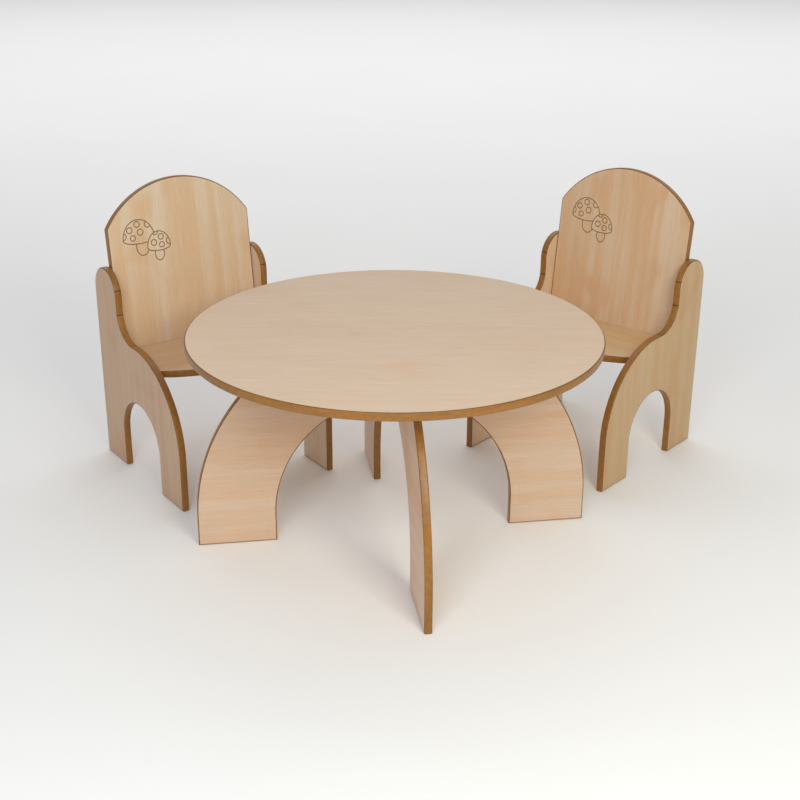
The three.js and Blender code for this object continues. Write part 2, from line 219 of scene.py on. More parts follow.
# The screw head's outline: the side's height by the head's, the shoulder's (radius, drop from the
# crown) by the head's, and where it nears the flat crown, by the crown's radius
SCREW_SIDE = 0.45
SCREW_SHOULDER = (0.92, 0.25)
SCREW_NEAR_CROWN = 1.2

# Camera
CAMERA_PLACE = Vector((-0.0186, -2.5560, 1.2866))
CAMERA_YAW = math.radians(0.252)
CAMERA_PITCH = math.radians(22.579)
CAMERA_ROLL = math.radians(0.374)
CAMERA_LENS = 59.86
CAMERA_SENSOR = 36

# Lights: (place, target, (width, height), power, colour)
SURROUND = 0.36
LIGHTS = {
    "fill": ((-0.6, -2.2, 1.7), (0, 0.1, 0.3), (0.9, 0.9), 20, (0.85, 0.91, 1.0)),
    "key": ((0.9, -2.2, 1.7), (0, 0.1, 0.3), (0.9, 0.9), 27, (1.0, 0.98, 0.82)),
    "wash": ((0, 6.5, 4.5), (0, 6.4, 0), (14, 9), 370, (1, 1, 1)),
}

# Floor
FLOOR_HALF_WIDTH = 60.0
FLOOR_SEGMENTS = 8
FLOOR_DULL = (0.93, 0.93, 0.93, 1)
FLOOR_PALE = (0.96, 0.96, 0.96, 1)

# Material indices on every board
FACE, EDGE, CORE, GROOVE = range(4)

# The colour sockets of a Mix node
MIX_A, MIX_B, MIX_RESULT = 6, 7, 2


# ---- materials

class Wiring:
    """Builds a material's nodes in few words."""

    def __init__(self, name):
        self.material = bpy.data.materials.new(name)
        self.material.use_nodes = True
        self.tree = self.material.node_tree
        self.tree.nodes.clear()
        self.shader = self.tree.nodes.new("ShaderNodeBsdfPrincipled")
        end = self.tree.nodes.new("ShaderNodeOutputMaterial")
        self.tree.links.new(self.shader.outputs[0], end.inputs["Surface"])

    def feed(self, socket, value):
        """Links the socket to a node's output, or sets it to a number or colour."""
        if isinstance(value, bpy.types.NodeSocket):
            self.tree.links.new(value, socket)
        else:
            socket.default_value = value

    def shade(self, **values):
        """Feeds the shader's own sockets, named with _ for a space."""
        for name, value in values.items():
            self.feed(self.shader.inputs[name.replace("_", " ")], value)

    def node(self, kind, **settings):
        node = self.tree.nodes.new("ShaderNode" + kind)
        for key, value in settings.items():
            setattr(node, key, value)
        return node

    def maths(self, operation, a, b=0.0):
        node = self.node("Math", operation=operation)
        self.feed(node.inputs[0], a)
        self.feed(node.inputs[1], b)
        return node.outputs[0]

    def centred(self, value, size):
        """A 0 to 1 value as one from -size/2 to size/2."""
        return self.maths("MULTIPLY", self.maths("SUBTRACT", value, 0.5), size)

    def total(self, first, *others):
        for other in others:
            first = self.maths("ADD", first, other)
        return first

    def ramp(self, value, low, high, to_low=0.0, to_high=1.0):
        """The value smoothly taken from low..high to to_low..to_high, and held beyond them."""
        node = self.node("MapRange", interpolation_type="SMOOTHSTEP")
        for socket, given in zip(node.inputs, (value, low, high, to_low, to_high)):
            self.feed(socket, given)
        return node.outputs[0]

    def mix(self, share, a, b, blend="MIX"):
        node = self.node("Mix", data_type="RGBA", blend_type=blend)
        self.feed(node.inputs[0], share)
        self.feed(node.inputs[MIX_A], a)
        self.feed(node.inputs[MIX_B], b)
        return node.outputs[MIX_RESULT]

    def shaded(self, colour, factor):
        """The colour, lighter or darker by a factor that varies over the surface."""
        grey = self.node("CombineColor")
        for socket in grey.inputs:
            self.feed(socket, factor)
        return self.mix(1.0, colour, grey.outputs[0], "MULTIPLY")

    def noise(self, vector, detail=2.0, rough=0.5, scale=1.0, flat=True):
        node = self.node("TexNoise", noise_dimensions="2D" if flat else "3D")
        self.feed(node.inputs["Vector"], vector)
        self.feed(node.inputs["Scale"], scale)
        self.feed(node.inputs["Detail"], detail)
        self.feed(node.inputs["Roughness"], rough)
        return node.outputs[0]

    def streaks(self, along, across, stretch, detail=2.0, rough=0.5):
        """Noise stretched to so many features a metre along and across the grain."""
        node = self.node("CombineXYZ")
        self.feed(node.inputs[0], self.maths("MULTIPLY", along, stretch[0]))
        self.feed(node.inputs[1], self.maths("MULTIPLY", across, stretch[1]))
        return self.noise(node.outputs[0], detail, rough)

    def bump(self, height, depth, strength):
        node = self.node("Bump")
        self.feed(node.inputs["Strength"], strength)
        self.feed(node.inputs["Distance"], depth)
        self.feed(node.inputs["Height"], height)
        self.tree.links.new(node.outputs[0], self.shader.inputs["Normal"])

    def grain(self):
        """(along, across) of the board's grain map, in metres."""
        uv = self.node("UVMap", uv_map="Grain")
        split = self.node("SeparateXYZ")
        self.tree.links.new(uv.outputs[0], split.inputs[0])
        return split.outputs[0], split.outputs[1]

    def place(self):
        return self.node("TexCoord").outputs["Object"]


def linear(red, green, blue):
    """An sRGB colour, 0 to 255 a channel, as the linear colour that shaders take."""
    values = [c / 255 for c in (red, green, blue)]
    return (*[c / 12.92 if c <= 0.04045 else ((c + 0.055) / 1.055) ** 2.4 for c in values], 1.0)


MAPLE_PALE = linear(214, 193, 167)
MAPLE_WARM = linear(209, 175, 138)
PLANKS_A_METRE = 11.0

# Features a metre, (along, across) the grain
MAPLE_DRIFT = (1.6, 6.0)
MAPLE_FIBRES = (8.0, 420.0)
MAPLE_DASHES = (26.0, 260.0)
MAPLE_BANDS = (1.1, 38.0)
MAPLE_CLOUDS = (2.5, 6.0)
MAPLE_PATCHES = (9.0, 13.0)
MAPLE_FLECKS = (90.0, 700.0)

# The same, (round, through) the board's edge
EDGE_SPECKLE = (900.0, 900.0)
EDGE_CHATTER = (420.0, 14.0)
EDGE_MOTTLE = (90.0, 160.0)
EDGE_DRIFT = (7.0, 40.0)

# How far from the board's middle plane the edge starts to darken, and where it is darkest: painted shade
# on the rounded arris, which leaves the middle lighter as a painted highlight
EDGE_BORDER = (0.0066, 0.0074)
EDGE_DARK = linear(104, 65, 19)
EDGE_LIGHT = linear(171, 116, 45)
EDGE_BURNT = (0.03, 0.013, 0.005, 1.0)

CORE_GRAINS_A_METRE = 700.0
PLATING_PATCHES_A_METRE = 260.0


def maple(name, tone, figure):
    """Maple-patterned laminate: fibres, flecks, planks of different tone, and soft warm patches.

    The tone multiplies the colour and carries the board's painted light and shade; the figure says how
    much pale and warm parts differ.
    """
    w = Wiring(name)
    along, across = w.grain()
    drift = w.streaks(along, across, MAPLE_DRIFT, detail=1.0)
    bent = w.total(across, w.centred(drift, 0.03))
    plank = w.node("TexWhiteNoise", noise_dimensions="1D")
    w.feed(plank.inputs["W"], w.maths("FLOOR", w.maths("MULTIPLY", across, PLANKS_A_METRE)))

    fibres = w.streaks(along, bent, MAPLE_FIBRES, detail=3.0, rough=0.65)
    dashes = w.streaks(along, bent, MAPLE_DASHES)
    bands = w.streaks(along, bent, MAPLE_BANDS)
    clouds = w.streaks(along, bent, MAPLE_CLOUDS, detail=1.0)
    patches = w.streaks(along, bent, MAPLE_PATCHES, detail=1.0)
    flecks = w.streaks(along, bent, MAPLE_FLECKS, detail=1.0)

    warmth = w.total(
        w.ramp(bands, 0.3, 0.7, 0.0, 0.5 * figure),
        w.ramp(clouds, 0.3, 0.75, 0.0, 0.5 * figure),
        w.ramp(patches, 0.56, 0.86, 0.0, 0.7 * figure),
        w.centred(plank.outputs[0], 0.5 * figure),
    )
    pale = [shade * part for shade, part in zip(MAPLE_PALE, (*tone, 1.0))]
    warm = [shade * part for shade, part in zip(MAPLE_WARM, (*tone, 1.0))]
    colour = w.mix(w.ramp(warmth, -0.1, 1.0), pale, warm)
    fibre_shade = w.ramp(fibres, 0.3, 0.7, 0.955, 1.03)
    dash_shade = w.ramp(dashes, 0.3, 0.7, 0.983, 1.015)
    fleck_shade = w.ramp(flecks, 0.64, 0.74, 1.0, 0.94)
    shade = w.maths("MULTIPLY", fibre_shade, w.maths("MULTIPLY", dash_shade, fleck_shade))
    w.shade(Base_Color=w.shaded(colour, shade))
    w.shade(Roughness=w.ramp(fibres, 0.3, 0.7, 0.50, 0.42))
    w.bump(w.total(fibres, flecks), depth=0.00006, strength=0.5)
    return w.material


def brown_edge(name):
    """Stained, lacquered fibreboard: mottled, and burnt in its notches. It is darker by the facing with
    painted shade on the rounded arris, and lighter through the middle as a painted highlight.
    """
    w = Wiring(name)
    along, across = w.grain()
    speckle = w.streaks(along, across, EDGE_SPECKLE, detail=3.0, rough=0.7)
    chatter = w.streaks(along, across, EDGE_CHATTER, detail=1.0)
    mottle = w.streaks(along, across, EDGE_MOTTLE)
    drift = w.streaks(along, across, EDGE_DRIFT)
    # Painted shade on the rounded arris by each face, which leaves the edge's middle lighter as a painted
    # highlight
    arris_shade_and_sheen = w.ramp(w.maths("ABSOLUTE", across), *EDGE_BORDER, 0.5, 0.1)
    share = w.total(
        arris_shade_and_sheen,
        w.centred(drift, 0.5),
        w.centred(mottle, 0.45),
        w.centred(speckle, 0.4),
        w.centred(chatter, 0.2),
    )
    colour = w.mix(w.ramp(share, -0.2, 1.0), EDGE_DARK, EDGE_LIGHT)
    burn = w.node("Attribute", attribute_name="burn").outputs["Fac"]
    colour = w.mix(w.ramp(burn, 0.0, 0.6), colour, EDGE_BURNT)
    w.shade(Base_Color=colour, Roughness=w.ramp(speckle, 0.3, 0.7, 0.32, 0.46))
    w.bump(w.total(speckle, chatter), depth=0.00008, strength=0.5)
    return w.material


def bare_core(name, dark, light):
    """The sawn or drilled inside of a board."""
    w = Wiring(name)
    fibre = w.noise(w.place(), detail=4.0, rough=0.7, scale=CORE_GRAINS_A_METRE, flat=False)
    w.shade(Base_Color=w.mix(fibre, dark, light), Roughness=w.ramp(fibre, 0.3, 0.7, 0.75, 0.9))
    w.bump(fibre, depth=0.0002, strength=0.6)
    return w.material


def metal(name, colour, roughness, lines):
    """Plated steel or zinc: mottled, with so many faint lines a metre from rolling or turning."""
    w = Wiring(name)
    mottle = w.noise(w.place(), detail=3.0, scale=PLATING_PATCHES_A_METRE, flat=False)
    split = w.node("SeparateXYZ")
    w.feed(split.inputs[0], w.place())
    scratch = w.streaks(split.outputs[0], split.outputs[2], lines)
    shade = w.total(w.ramp(mottle, 0.3, 0.7, 0.80, 1.0), w.centred(scratch, 0.15))
    w.shade(Base_Color=w.shaded(colour, shade), Metallic=0.95)
    w.shade(Roughness=w.total(w.centred(mottle, 0.2), w.centred(scratch, 0.2), roughness))
    w.bump(w.total(scratch, mottle), depth=0.00004, strength=0.4)
    return w.material


# Each board's tone, and how strong its figure is. The tones are painted light and shade: each board is
# lightened, darkened, warmed or cooled for how light falls on it
FACINGS = {
    node: maple("maple_" + node, tone, figure)
    for node, tone, figure in (
        ("table_top", (1.01, 0.95, 0.935), 0.3),
        ("table_arch_panel_across", (1.03, 0.965, 0.97), 0.75),
        ("table_arch_panel_along", (1.07, 1.01, 1.05), 0.75),
        # Left chair: the far, left side panel is lightened as painted light, and the near, right one
        # darkened and cooled as painted shade
        ("left_chair_left_side_panel", (1.17, 1.15, 1.17), 0.6),
        ("left_chair_right_side_panel", (0.90, 0.765, 0.685), 0.7),
        ("left_chair_seat", (1.12, 1.03, 0.92), 0.8),
        ("left_chair_back", (1.12, 1.13, 1.13), 0.9),
        # Right chair: the near, left side panel is darkened and warmed as painted shade, and the far,
        # right one lightened as painted light
        ("right_chair_left_side_panel", (0.92, 0.805, 0.60), 0.7),
        ("right_chair_right_side_panel", (1.17, 1.16, 1.12), 0.6),
        ("right_chair_seat", (1.12, 1.04, 0.88), 0.8),
        ("right_chair_back", (1.06, 0.98, 0.92), 1.0),
    )
}
BROWN = brown_edge("brown_edge")
BARE = bare_core("bare_core", linear(120, 84, 50), linear(168, 128, 84))
BURNT = bare_core("burnt_groove", linear(124, 88, 54), linear(156, 118, 78))
METALS = {
    name: metal(name, linear(*colour), roughness, lines)
    for name, colour, roughness, lines in (
        ("zinc_cam", (196, 198, 200), 0.42, (900.0, 900.0)),
        ("steel_bolt", (214, 212, 206), 0.30, (200.0, 2600.0)),
        ("steel_bracket", (212, 212, 208), 0.34, (60.0, 2400.0)),
        ("zinc_screw", (218, 210, 184), 0.32, (200.0, 2600.0)),
    )
}


# ---- outlines

def arc(centre, radius, start, end, step=ARC_STEP):
    """Points along an arc, both ends included. It runs clockwise where end is below start."""
    steps = max(FEWEST_ARC_STEPS, math.ceil(abs(end - start) * radius / step))
    angles = [start + (end - start) * i / steps for i in range(steps + 1)]
    return [Vector(centre) + radius * Vector((math.cos(a), math.sin(a))) for a in angles]


def outline(*runs):
    """A closed counter-clockwise outline: (point, 1 or 0) for each point.

    Each run is (points, rounded). Its edges, on to the next run's first point, are rounded over
    (1) or square (0).
    """
    made = []
    for points, rounded in runs:
        for point in points:
            if made and (made[-1][0] - point).length < SAME_POINT:
                made.pop()
            made.append((point, int(rounded)))
    return made


def scored(shape, marks):
    """The same outline with a narrow notch at the point nearest to each mark, where the cutter dwelt.

    Also returns the notches' floors.
    """
    nearest = [min(range(len(shape)), key=lambda i: (shape[i][0] - mark).length) for mark in marks]
    made, floors = [], []
    for i, (point, rounded) in enumerate(shape):
        if i not in nearest:
            made.append((point, rounded))
            continue
        before = (shape[i - 1][0] - point).normalized()
        after = (shape[(i + 1) % len(shape)][0] - point).normalized()
        along = (after - before).normalized()
        floors.append(point + MARK_DEPTH * Vector((-along.y, along.x)))
        made.append((point + MARK_HALF_WIDTH * before, rounded))
        made.append((floors[-1], rounded))
        made.append((point + MARK_HALF_WIDTH * after, rounded))
    return made, floors


def inset(shape, depth):
    """The outline's points with its rounded edges moved in by a depth, mitred at the corners."""
    moved = []
    for i, (point, rounded_after) in enumerate(shape):
        previous, rounded_before = shape[i - 1]
        following = shape[(i + 1) % len(shape)][0]
        arriving = (point - previous).normalized()
        leaving = (following - point).normalized()
        inward_before = Vector((-arriving.y, arriving.x))
        inward_after = Vector((-leaving.y, leaving.x))
        before, after = depth * rounded_before, depth * rounded_after
        level = inward_before.dot(inward_after)
        if level > NEARLY_STRAIGHT:
            moved.append(point + (inward_before + inward_after) * (before + after) / 2 / (1 + level))
        else:
            spread = 1 - level * level
            share_before = (before - level * after) / spread
            share_after = (after - level * before) / spread
            moved.append(point + inward_before * share_before + inward_after * share_after)
    return moved


# ---- meshes

def add_object(name, data):
    made = bpy.data.objects.new(name, data)
    bpy.context.scene.collection.objects.link(made)
    return made


def as_object(name, bm, *materials):
    mesh = bpy.data.meshes.new(name)
    bm.to_mesh(mesh)
    bm.free()
    for material in materials:
        mesh.materials.append(material)
    return add_object(name, mesh)


def make_slab(name, shape, thickness, radius, materials, along_y=False, seed=0, burns=()):
    """A flat piece in its own XY plane, centred on z = 0, with rounded-over edges.

    Its "Grain" map is in metres: along and across the grain on the faces, and round and through
    the edges. Its "burn" attribute marks the points that are in burns.
    """
    bm = bmesh.new()
    grain = bm.loops.layers.uv.new("Grain")
    burn = bm.verts.layers.float.new("burn")
    angles = [RIGHT_ANGLE * i / EDGE_STEPS for i in range(EDGE_STEPS + 1)]
    profile = [(radius * (1 - math.sin(a)), thickness / 2 - radius * (1 - math.cos(a))) for a in angles]
    rings = []
    for depth, height in [(d, -h) for d, h in profile] + profile[::-1]:
        rings.append([bm.verts.new((p.x, p.y, height)) for p in inset(shape, depth)])
        for vert, (point, _) in zip(rings[-1], shape):
            vert[burn] = float(any((point - floor).length < SAME_POINT for floor in burns))

    for side, ring in enumerate((rings[0][::-1], rings[-1])):
        face = bm.faces.new(ring)
        face.material_index = FACE
        steps = zip(GRAIN_PER_SEED, GRAIN_PER_SIDE)
        offset = Vector([per_seed * seed + per_side * side for per_seed, per_side in steps])
        for loop in face.loops:
            x, y, _ = loop.vert.co
            loop[grain].uv = offset + Vector((y, -x) if along_y else (x, y))

    travelled = [0.0]
    for i, (point, _) in enumerate(shape):
        travelled.append(travelled[-1] + (shape[(i + 1) % len(shape)][0] - point).length)
    for lower, upper in zip(rings, rings[1:]):
        for i in range(len(shape)):
            j = (i + 1) % len(shape)
            face = bm.faces.new((lower[i], lower[j], upper[j], upper[i]))
            face.material_index = EDGE if len(materials) > 1 else FACE
            for loop, at in zip(face.loops, (i, i + 1, i + 1, i)):
                loop[grain].uv = (travelled[at] + seed, loop.vert.co.z)
    return as_object(name, bm, *materials)


def make_board(node, shape, at, thickness=BOARD, along_y=False, seed=0, burns=()):
    """A maple-faced board with brown rounded edges, in place."""
    materials = (FACINGS[node], BROWN, BARE, BURNT)
    board = make_slab("visual_" + node, shape, thickness, EDGE_RADIUS, materials, along_y, seed, burns)
    board.matrix_world = at
    return board


def swept(name, rings, closed=False):
    """A solid through rings of points, each ring with as many points as the next."""
    bm = bmesh.new()
    loops = [[bm.verts.new(p) for p in ring] for ring in rings]
    pairs = list(zip(loops, loops[1:]))
    if closed:
        pairs.append((loops[-1], loops[0]))
    else:
        bm.faces.new(loops[0][::-1])
        bm.faces.new(loops[-1])
    for first, second in pairs:
        for i in range(len(first)):
            j = (i + 1) % len(first)
            bm.faces.new((first[i], first[j], second[j], second[i]))
    bmesh.ops.recalc_face_normals(bm, faces=bm.faces)
    return as_object(name, bm)


def turned(name, profile, material, segments=ROUND_SEGMENTS):
    """A solid of revolution about Z, from (radius, height) points that start and end on the axis."""
    bm = bmesh.new()
    angles = [TURN * i / segments for i in range(segments)]
    first = bm.verts.new((0, 0, profile[0][1]))
    last = bm.verts.new((0, 0, profile[-1][1]))
    circle = [(math.cos(a), math.sin(a)) for a in angles]
    rings = [[bm.verts.new((r * x, r * y, h)) for x, y in circle] for r, h in profile[1:-1]]
    for i in range(segments):
        j = (i + 1) % segments
        bm.faces.new((first, rings[0][j], rings[0][i]))
        bm.faces.new((last, rings[-1][i], rings[-1][j]))
        for lower, upper in zip(rings, rings[1:]):
            bm.faces.new((lower[i], lower[j], upper[j], upper[i]))
    return as_object(name, bm, material)


def carve(piece, cutters):
    """Cuts (cutter, material index of the cut) pairs out of the piece, then removes the cutters.

    Points that all but meet are welded, so no slivers are left.
    """
    for cutter, index in cutters:
        cutter.data.polygons.foreach_set("material_index", [index] * len(cutter.data.polygons))
        cut = piece.modifiers.new(cutter.name, "BOOLEAN")
        cut.operation = "DIFFERENCE"
        cut.solver = "MANIFOLD"
        cut.material_mode = "INDEX"
        cut.object = cutter
    graph = bpy.context.evaluated_depsgraph_get()
    carved = bpy.data.meshes.new_from_object(
        piece.evaluated_get(graph), preserve_all_data_layers=True, depsgraph=graph
    )
    piece.modifiers.clear()
    whole, piece.data = piece.data, carved
    for mesh in [whole] + [cutter.data for cutter, _ in cutters]:
        bpy.data.meshes.remove(mesh)
    carved.name = piece.name

    bm = bmesh.new()
    bm.from_mesh(carved)
    bmesh.ops.remove_doubles(bm, verts=bm.verts, dist=WELD)
    bm.to_mesh(carved)
    bm.free()


def drill(at, radius, start, direction, length, segments=ROUND_SEGMENTS):
    """A round bar in a frame, as a cutter that leaves bare board."""
    turn = Vector(direction).to_track_quat("Z", "Y")
    circle = [TURN * i / segments for i in range(segments)]
    rings = [
        [Vector(start) + turn @ Vector((radius * math.cos(a), radius * math.sin(a), z)) for a in circle]
        for z in (0, length)
    ]
    bar = swept("drill", rings)
    bar.matrix_world = at
    return bar, CORE


def block(at, low, high, taper=1.0):
    """A box-shaped cutter in a frame. Its low end in z is smaller by the taper."""
    middle = (Vector(low[:2]) + Vector(high[:2])) / 2
    footprint = (low[:2], (high[0], low[1]), high[:2], (low[0], high[1]))
    corners = [Vector(c) - middle for c in footprint]
    rings = [
        [(*(middle + c * size), z) for c in corners]
        for z, size in ((low[2], taper), (high[2], 1.0))
    ]
    box = swept("block", rings)
    box.matrix_world = at
    return box


def cross_recess(at, level, recess, way):
    """The two cutters of a cross recess in a face at z = level that looks up (way 1) or down (-1)."""
    arm, half, depth = recess
    cutters = []
    for reach in ((arm, half), (half, arm)):
        outward = Matrix.Rotation(0 if way > 0 else math.pi, 4, "X")
        on_face = at @ Matrix.Translation((0, 0, level)) @ outward
        low, high = (-reach[0], -reach[1], -depth), (*reach, OVERSHOOT)
        cutters.append((block(on_face, low, high, RECESS_TAPER), FACE))
    return cutters


def finish_piece(piece, node, flat=None):
    """Shades all but the flat material's faces smoothly, and puts the piece in the node's place."""
    mesh = piece.data
    mesh.shade_smooth()
    mesh.set_sharp_from_angle(angle=SMOOTH_BELOW)
    mesh.polygons.foreach_set("use_smooth", [p.material_index != flat for p in mesh.polygons])
    mesh.update()
    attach(piece, body_of[node])
    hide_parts(node)


# ---- table

def table_frame():
    low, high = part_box("table_top")
    return Matrix.Translation(((low.x + high.x) / 2, (low.y + high.y) / 2, 0))


def arm_frame(quarter):
    """x runs out along one of the base's four arms, y off its face and z up."""
    return table_frame() @ Matrix.Rotation(BASE_TURN + quarter * RIGHT_ANGLE, 4, "Z")


def upright(y):
    """A board frame that stands up: its x stays, its y becomes height, and its front faces -Y."""
    return Matrix.Translation((0, y, 0)) @ Matrix.Rotation(RIGHT_ANGLE, 4, "X")


def bracket_screws():
    """Each screw of a bracket in the arm's frame: its name, its tip, and the way to its head."""
    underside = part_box("table_top")[0].z
    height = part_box("table_arch_panel_across")[1].z
    face = BOARD / 2
    top_tip = Vector((BRACKET_OFFSET, face + BRACKET_HOLE_DISTANCE, underside + SCREW_BITE))
    panel_tip = Vector((BRACKET_OFFSET, face - SCREW_BITE, height - BRACKET_HOLE_DISTANCE))
    return [("top", top_tip, (0, 0, -1)), ("panel", panel_tip, (0, 1, 0))]


def pilot_holes(quarters, wanted):
    """The holes for the wanted screws, "top" or "panel", of some arms' brackets."""
    holes = []
    length = PILOT_DEPTH + OVERSHOOT
    for quarter in quarters:
        for name, tip, way in bracket_screws():
            if name == wanted:
                start = tip - Vector(way) * (PILOT_DEPTH - SCREW_BITE)
                holes.append(drill(arm_frame(quarter), PILOT_RADIUS, start, way, length))
    return holes


def make_table_top():
    low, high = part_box("table_top")
    radius = (high.x - low.x) / 2
    angles = [TURN * i / TABLE_SEGMENTS for i in range(TABLE_SEGMENTS)]
    rim = [radius * Vector((math.cos(a), math.sin(a))) for a in angles]
    at = table_frame() @ Matrix.Translation((0, 0, (low.z + high.z) / 2))
    top = make_board("table_top", outline((rim, True)), at, high.z - low.z, seed=TABLE_TOP_SEED)
    carve(top, pilot_holes(range(len(ARMS)), "top"))
    finish_piece(top, "table_top", FACE)


def arch_panel_outline(height):
    """A wide half ring on straight feet, cut level and square where it meets the top."""
    shoulder = math.asin((height - BASE_ARC_HEIGHT) / BASE_OUTER_RADIUS)
    middle = (0, BASE_ARC_HEIGHT)
    right = arc(middle, BASE_OUTER_RADIUS, 0, shoulder)
    left = arc(middle, BASE_OUTER_RADIUS, math.pi - shoulder, math.pi)
    return outline(
        ([Vector((BASE_INNER_RADIUS, 0)), Vector((BASE_OUTER_RADIUS, 0))], True),
        (right[:-1], True),
        (right[-1:], False),
        (left, True),
        ([Vector((-BASE_OUTER_RADIUS, 0)), Vector((-BASE_INNER_RADIUS, 0))], True),
        (arc(middle, BASE_INNER_RADIUS, math.pi, 0), True),
    )


def make_arch_panel(name, quarter, from_above, seed):
    """One panel of the base, slotted from above or below for the halving joint."""
    node = f"table_arch_panel_{name}"
    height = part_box(node)[1].z
    at = arm_frame(quarter) @ upright(0)
    panel = make_board(node, arch_panel_outline(height), at, seed=seed)
    crown = BASE_ARC_HEIGHT + BASE_INNER_RADIUS
    halfway = (crown + height) / 2
    reach = BOARD / 2 + GAP
    if from_above:
        bottom, top = halfway - GAP / 2, height + BOARD
    else:
        bottom, top = crown - BOARD, halfway + GAP / 2
    slot = block(at, (-reach, bottom, -BOARD), (reach, top, BOARD))
    carve(panel, [(slot, CORE)] + pilot_holes((quarter, quarter + 2), "panel"))
    finish_piece(panel, node, FACE)


def bend_round(point, height):
    """Takes a point of the flat bracket, x along its length from the low end, round the bend."""
    leg = BRACKET_LEG - BRACKET_BEND
    middle_radius = BRACKET_BEND - BRACKET_THICKNESS / 2
    from_face = BRACKET_THICKNESS / 2 - point.z
    angle = min(max((point.x - leg) / middle_radius, 0), RIGHT_ANGLE)
    beyond = max(point.x - leg - RIGHT_ANGLE * middle_radius, 0)
    rise = min(point.x, leg)
    face = BOARD / 2 + GAP
    reach = BRACKET_BEND - from_face
    y = face + BRACKET_BEND - reach * math.cos(angle) + beyond
    z = height - BRACKET_LEG + rise + reach * math.sin(angle)
    return Vector((BRACKET_OFFSET + point.y, y, z))


def make_bracket(quarter, arm):
    """A plate with round corners and two holes, cut flat and then bent to an angle."""
    node = f"table_bracket_{arm}"
    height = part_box("table_arch_panel_across")[1].z
    leg = BRACKET_LEG - BRACKET_BEND
    bend = RIGHT_ANGLE * (BRACKET_BEND - BRACKET_THICKNESS / 2)
    length, half, corner = 2 * leg + bend, BRACKET_WIDTH / 2, BRACKET_CORNER
    centres = (
        (length - corner, -half + corner),
        (length - corner, half - corner),
        (corner, half - corner),
        (corner, -half + corner),
    )
    runs = []
    for i, centre in enumerate(centres):
        start = RIGHT_ANGLE * (i - 1)
        points = arc(centre, corner, start, start + RIGHT_ANGLE, BRACKET_CORNER_STEP)
        runs.append((points, True))
    shape = outline(*runs)
    steel = METALS["steel_bracket"]
    plate = make_slab("visual_" + node, shape, BRACKET_THICKNESS, BRACKET_EDGE_RADIUS, (steel,))
    holes = [BRACKET_LEG - BRACKET_HOLE_DISTANCE, length - BRACKET_LEG + BRACKET_HOLE_DISTANCE - GAP]
    level = -BRACKET_THICKNESS
    cutters = [drill(Matrix(), BRACKET_HOLE_RADIUS, (x, 0, level), (0, 0, 1), -2 * level) for x in holes]
    carve(plate, [(cutter, FACE) for cutter, _ in cutters])

    bm = bmesh.new()
    bm.from_mesh(plate.data)
    for i in range(BRACKET_BEND_STEPS + 1):
        line = (leg + bend * i / BRACKET_BEND_STEPS, 0, 0)
        everything = bm.verts[:] + bm.edges[:] + bm.faces[:]
        bmesh.ops.bisect_plane(bm, geom=everything, plane_co=line, plane_no=(1, 0, 0))
    for vert in bm.verts:
        vert.co = bend_round(vert.co, height)
    # The turn from flat to upright is a mirroring one, so the faces have to be turned back out
    bmesh.ops.reverse_faces(bm, faces=bm.faces)
    bm.to_mesh(plate.data)
    bm.free()
    plate.matrix_world = arm_frame(quarter)
    finish_piece(plate, node)


def thread(radius, pitch, start, end):
    """The (radius, height) points of a thread's crests and roots from one height to another."""
    turns = int((end - start) / pitch)
    crests = [(radius, start + pitch * (i + 0.5)) for i in range(turns)]
    roots = [(radius * THREAD_ROOT, start + pitch * (i + 1)) for i in range(turns)]
    return [point for pair in zip(crests, roots) for point in pair]


def pointing(tip, way):
    """A frame at a point, whose z runs along the way."""
    return Matrix.Translation(tip) @ Vector(way).to_track_quat("Z", "Y").to_matrix().to_4x4()


def make_screws(quarter, arm):
    """A bracket's two pan-head screws, each with a thread and a cross recess."""
    head_radius, head_height = SCREW_HEAD
    neck = SCREW_BITE + BRACKET_THICKNESS + 2 * GAP
    crown = neck + head_height
    side = neck + head_height * SCREW_SIDE
    shoulder = (head_radius * SCREW_SHOULDER[0], crown - head_height * SCREW_SHOULDER[1])
    for name, tip, way in bracket_screws():
        node = f"table_bracket_{arm}_{name}_screw"
        profile = [(0, 0), (SCREW_RADIUS * SCREW_TIP, GAP)]
        profile += thread(SCREW_RADIUS, SCREW_PITCH, SCREW_PITCH, neck)
        profile += [(SCREW_RADIUS * THREAD_ROOT, neck), (head_radius - GAP, neck)]
        profile += [(head_radius, neck + GAP), (head_radius, side), shoulder]
        profile += [(SCREW_CROWN_RADIUS * SCREW_NEAR_CROWN, crown - GAP / 2)]
        profile += [(SCREW_CROWN_RADIUS, crown), (0, crown)]
        at = arm_frame(quarter) @ pointing(tip, way)
        screw = turned("visual_" + node, profile, METALS["zinc_screw"])
        screw.matrix_world = at
        carve(screw, cross_recess(at, crown, SCREW_RECESS, 1))
        finish_piece(screw, node)


# ---- chairs

def chair_frame(chair):
    """The chair's frame: x forward from the rear edges of the side panels, y to its left, z up."""
    joint = next(j for j in frame["joints"] if j["child"] == chair)
    forward = Vector(joint["axis"]).normalized()
    boxes = [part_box(f"{chair}_{side}_side_panel") for side in SIDES]
    low = Vector(map(min, *[b[0] for b in boxes]))
    high = Vector(map(max, *[b[1] for b in boxes]))
    rear = (low + high) / 2 - forward * CHAIR_DEPTH / 2
    facing = math.atan2(forward.y, forward.x)
    return Matrix.Translation((rear.x, rear.y, 0)) @ Matrix.Rotation(facing, 4, "Z")


def frame_of(origin, x, y, z):
    return Matrix.Translation(origin) @ Matrix((x, y, z)).transposed().to_4x4()


UP_THE_LEAN = Vector((-math.sin(BACK_LEAN), 0, math.cos(BACK_LEAN)))
OUT_OF_THE_BACK = Vector((math.cos(BACK_LEAN), 0, math.sin(BACK_LEAN)))
TO_THE_LEFT = Vector((0, 1, 0))
UP = Vector((0, 0, 1))


